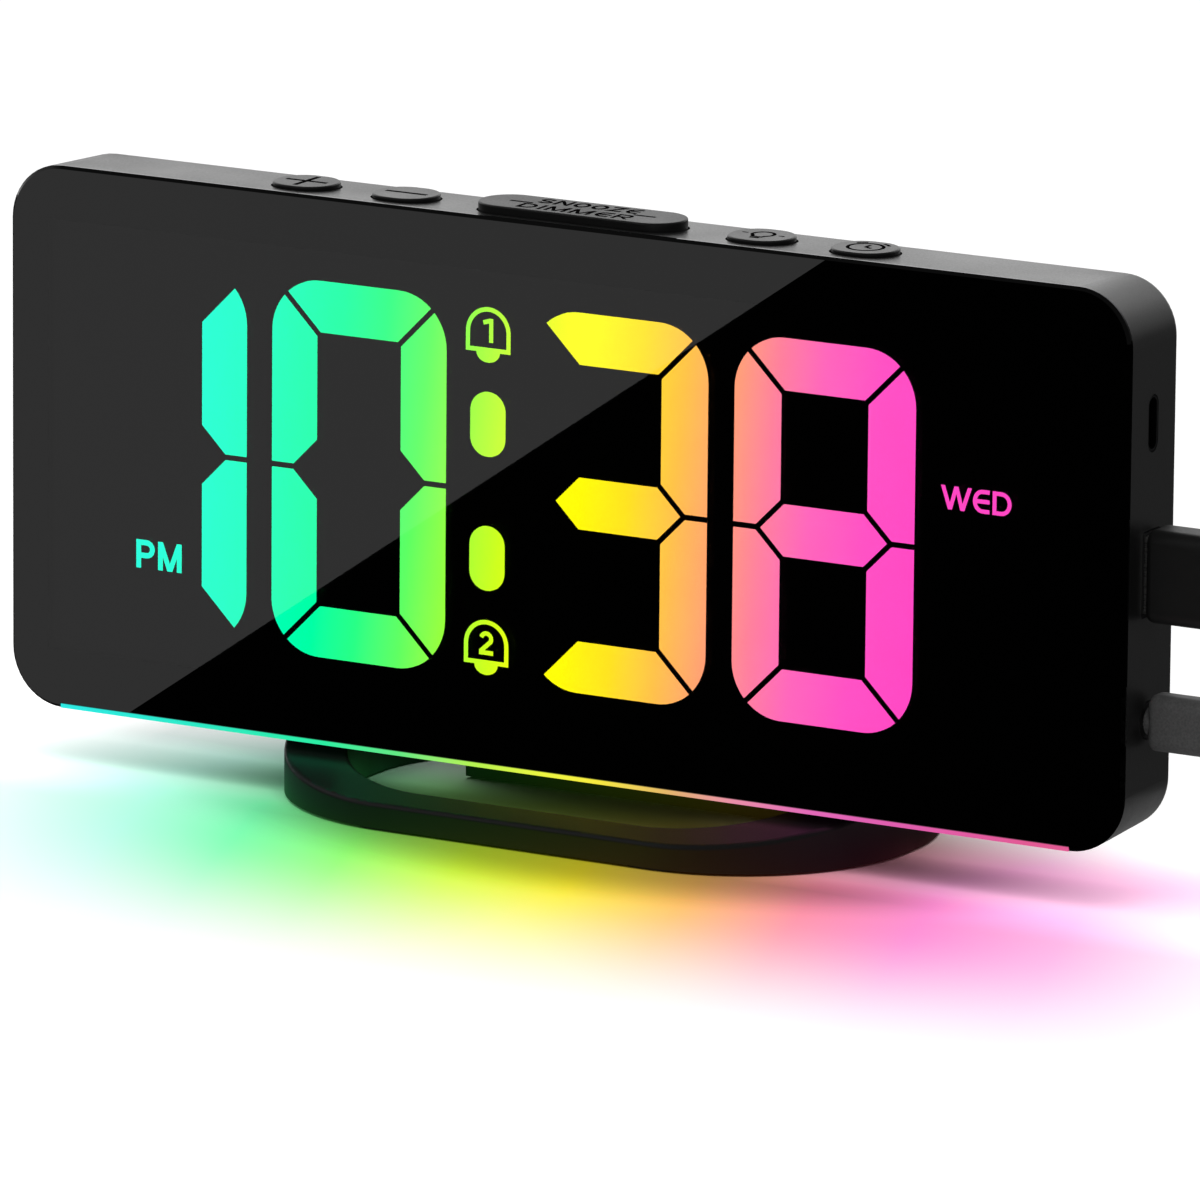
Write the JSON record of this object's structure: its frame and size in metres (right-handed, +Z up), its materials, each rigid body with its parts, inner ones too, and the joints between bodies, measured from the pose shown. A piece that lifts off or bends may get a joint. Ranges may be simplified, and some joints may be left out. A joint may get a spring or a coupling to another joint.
{
  "type": "digital calendar clock",
  "caption": "Slim upright digital clock on a ring stand: smoked lens over lit segment digits and weekday words, light bar, top buttons, side ports and two coiled leads.",
  "frame": {"origin": "on the table, under the middle of the ring stand", "axes": "+X to the clock's right as seen from the front, +Y from the face to the back, +Z up"},
  "size_m": [0.2942, 0.1015, 0.0981],
  "materials": {
    "casing": "fine matte moulded plastic",
    "lens": "smoked gloss acrylic",
    "block": "black moulded plastic",
    "lit_guides": "diffusing light guide, lit",
    "unlit_guides": "diffusing light guide, unlit",
    "boards": "circuit board",
    "chips": "moulded chip cases",
    "leds": "clear resin chips",
    "steel": "plated steel",
    "socket": "black nylon",
    "speaker": "black paper cone and frame",
    "bar": "clear light bar, lit",
    "buttons": "satin plastic",
    "plungers": "nylon pins",
    "stand": "gloss black moulding",
    "pads": "soft pads",
    "lead": "flexible vinyl"
  },
  "bodies": {
    "clock": {"rear_casing": "casing", "cell_cover": "casing", "front_lens": "lens", "display_block": "block", "hour_tens_segments": "lit_guides", "hour_units_segments": "lit_guides", "minute_tens_segments": "lit_guides", "minute_units_segments": "lit_guides", "colon_dots": "lit_guides", "alarm_signs": "lit_guides", "afternoon_word": "lit_guides", "third_weekday_word": "lit_guides", "unlit_segments": "unlit_guides", "unlit_words": "unlit_guides", "display_board": "boards", "main_board": "boards", "button_board": "boards", "light_bar_board": "boards", "main_chips": "chips", "board_link": "chips", "display_leds": "leds", "light_bar_leds": "leds", "main_board_screws": "steel", "casing_screws": "steel", "stand_screws": "steel", "cell_cover_screw": "steel", "usb_c_port": "steel", "usb_a_port": "steel", "charge_plug_shell": "steel", "charge_end_shell": "steel", "power_end_shell": "steel", "power_plug_barrel": "steel", "cell_contacts": "steel", "backup_cell": "steel", "power_socket": "socket", "switch_bodies": "socket", "speaker": "speaker", "light_bar": "bar", "stand": "stand", "foot_pads": "pads", "charge_lead": "lead", "charge_lead_coil": "lead", "power_lead": "lead", "power_lead_coil": "lead", "charge_plug": "lead", "power_plug": "lead", "charge_end_plug": "lead", "power_end_plug": "lead"},
    "plus_key": {"plus_button": "buttons", "plus_plunger": "plungers"},
    "minus_key": {"minus_button": "buttons", "minus_plunger": "plungers"},
    "snooze_key": {"snooze_button": "buttons", "snooze_plunger": "plungers"},
    "light_key": {"light_button": "buttons", "light_plunger": "plungers"},
    "alarm_key": {"alarm_button": "buttons", "alarm_plunger": "plungers"}
  },
  "joints": [
    {"name": "plus_press", "type": "slide", "parent": "clock", "child": "plus_key", "axis": [0, 0, -1], "range_m": [0, 0.0005], "stiffness_N_per_m": 2000, "springref_m": -0.0002},
    {"name": "minus_press", "type": "slide", "parent": "clock", "child": "minus_key", "axis": [0, 0, -1], "range_m": [0, 0.0005], "stiffness_N_per_m": 2000, "springref_m": -0.0002},
    {"name": "snooze_press", "type": "slide", "parent": "clock", "child": "snooze_key", "axis": [0, 0, -1], "range_m": [0, 0.0005], "stiffness_N_per_m": 2500, "springref_m": -0.0002},
    {"name": "light_press", "type": "slide", "parent": "clock", "child": "light_key", "axis": [0, 0, -1], "range_m": [0, 0.0005], "stiffness_N_per_m": 2000, "springref_m": -0.0002},
    {"name": "alarm_press", "type": "slide", "parent": "clock", "child": "alarm_key", "axis": [0, 0, -1], "range_m": [0, 0.0005], "stiffness_N_per_m": 2000, "springref_m": -0.0002}
  ]
}
